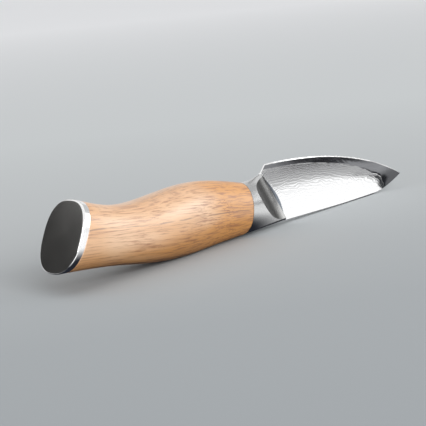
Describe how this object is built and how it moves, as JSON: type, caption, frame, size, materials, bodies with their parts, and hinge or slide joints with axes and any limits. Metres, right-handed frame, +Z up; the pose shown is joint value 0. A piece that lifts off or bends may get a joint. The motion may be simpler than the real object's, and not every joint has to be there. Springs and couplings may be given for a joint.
{
  "type": "paring knife",
  "caption": "Small kitchen knife with a layered steel blade, a hollow-ground bolster, a curved wooden handle and a slanted steel end cap, for peeling and trimming food by hand.",
  "frame": {"origin": "on the surface that the knife stands on, under the middle of its bounding box", "axes": "+X from the butt to the point, +Y across the blade, +Z up from the spine side to the cutting edge; belly of the handle and spine of the blade rest on Z = 0"},
  "size_m": [0.2, 0.02, 0.0295],
  "materials": {
    "core_steel": "fine ground hard steel, plain",
    "layered_steel": "etched layered steel with a fine wavy figure",
    "polished_steel": "polished, with fine grinding lines in the hollows",
    "oiled_wood": "oiled, fine straight grain with short dark pores",
    "satin_steel": "satin face with a polished rim",
    "plain_steel": "turned, unpolished",
    "cured_resin": "cured resin, matte"
  },
  "bodies": {
    "root": {"blade_core": "core_steel", "left_cladding": "layered_steel", "right_cladding": "layered_steel", "bolster": "polished_steel", "handle": "oiled_wood", "end_cap": "satin_steel", "tang_rod": "plain_steel", "tang_bedding": "cured_resin", "tang_washer": "plain_steel", "tang_nut": "plain_steel"}
  },
  "joints": []
}
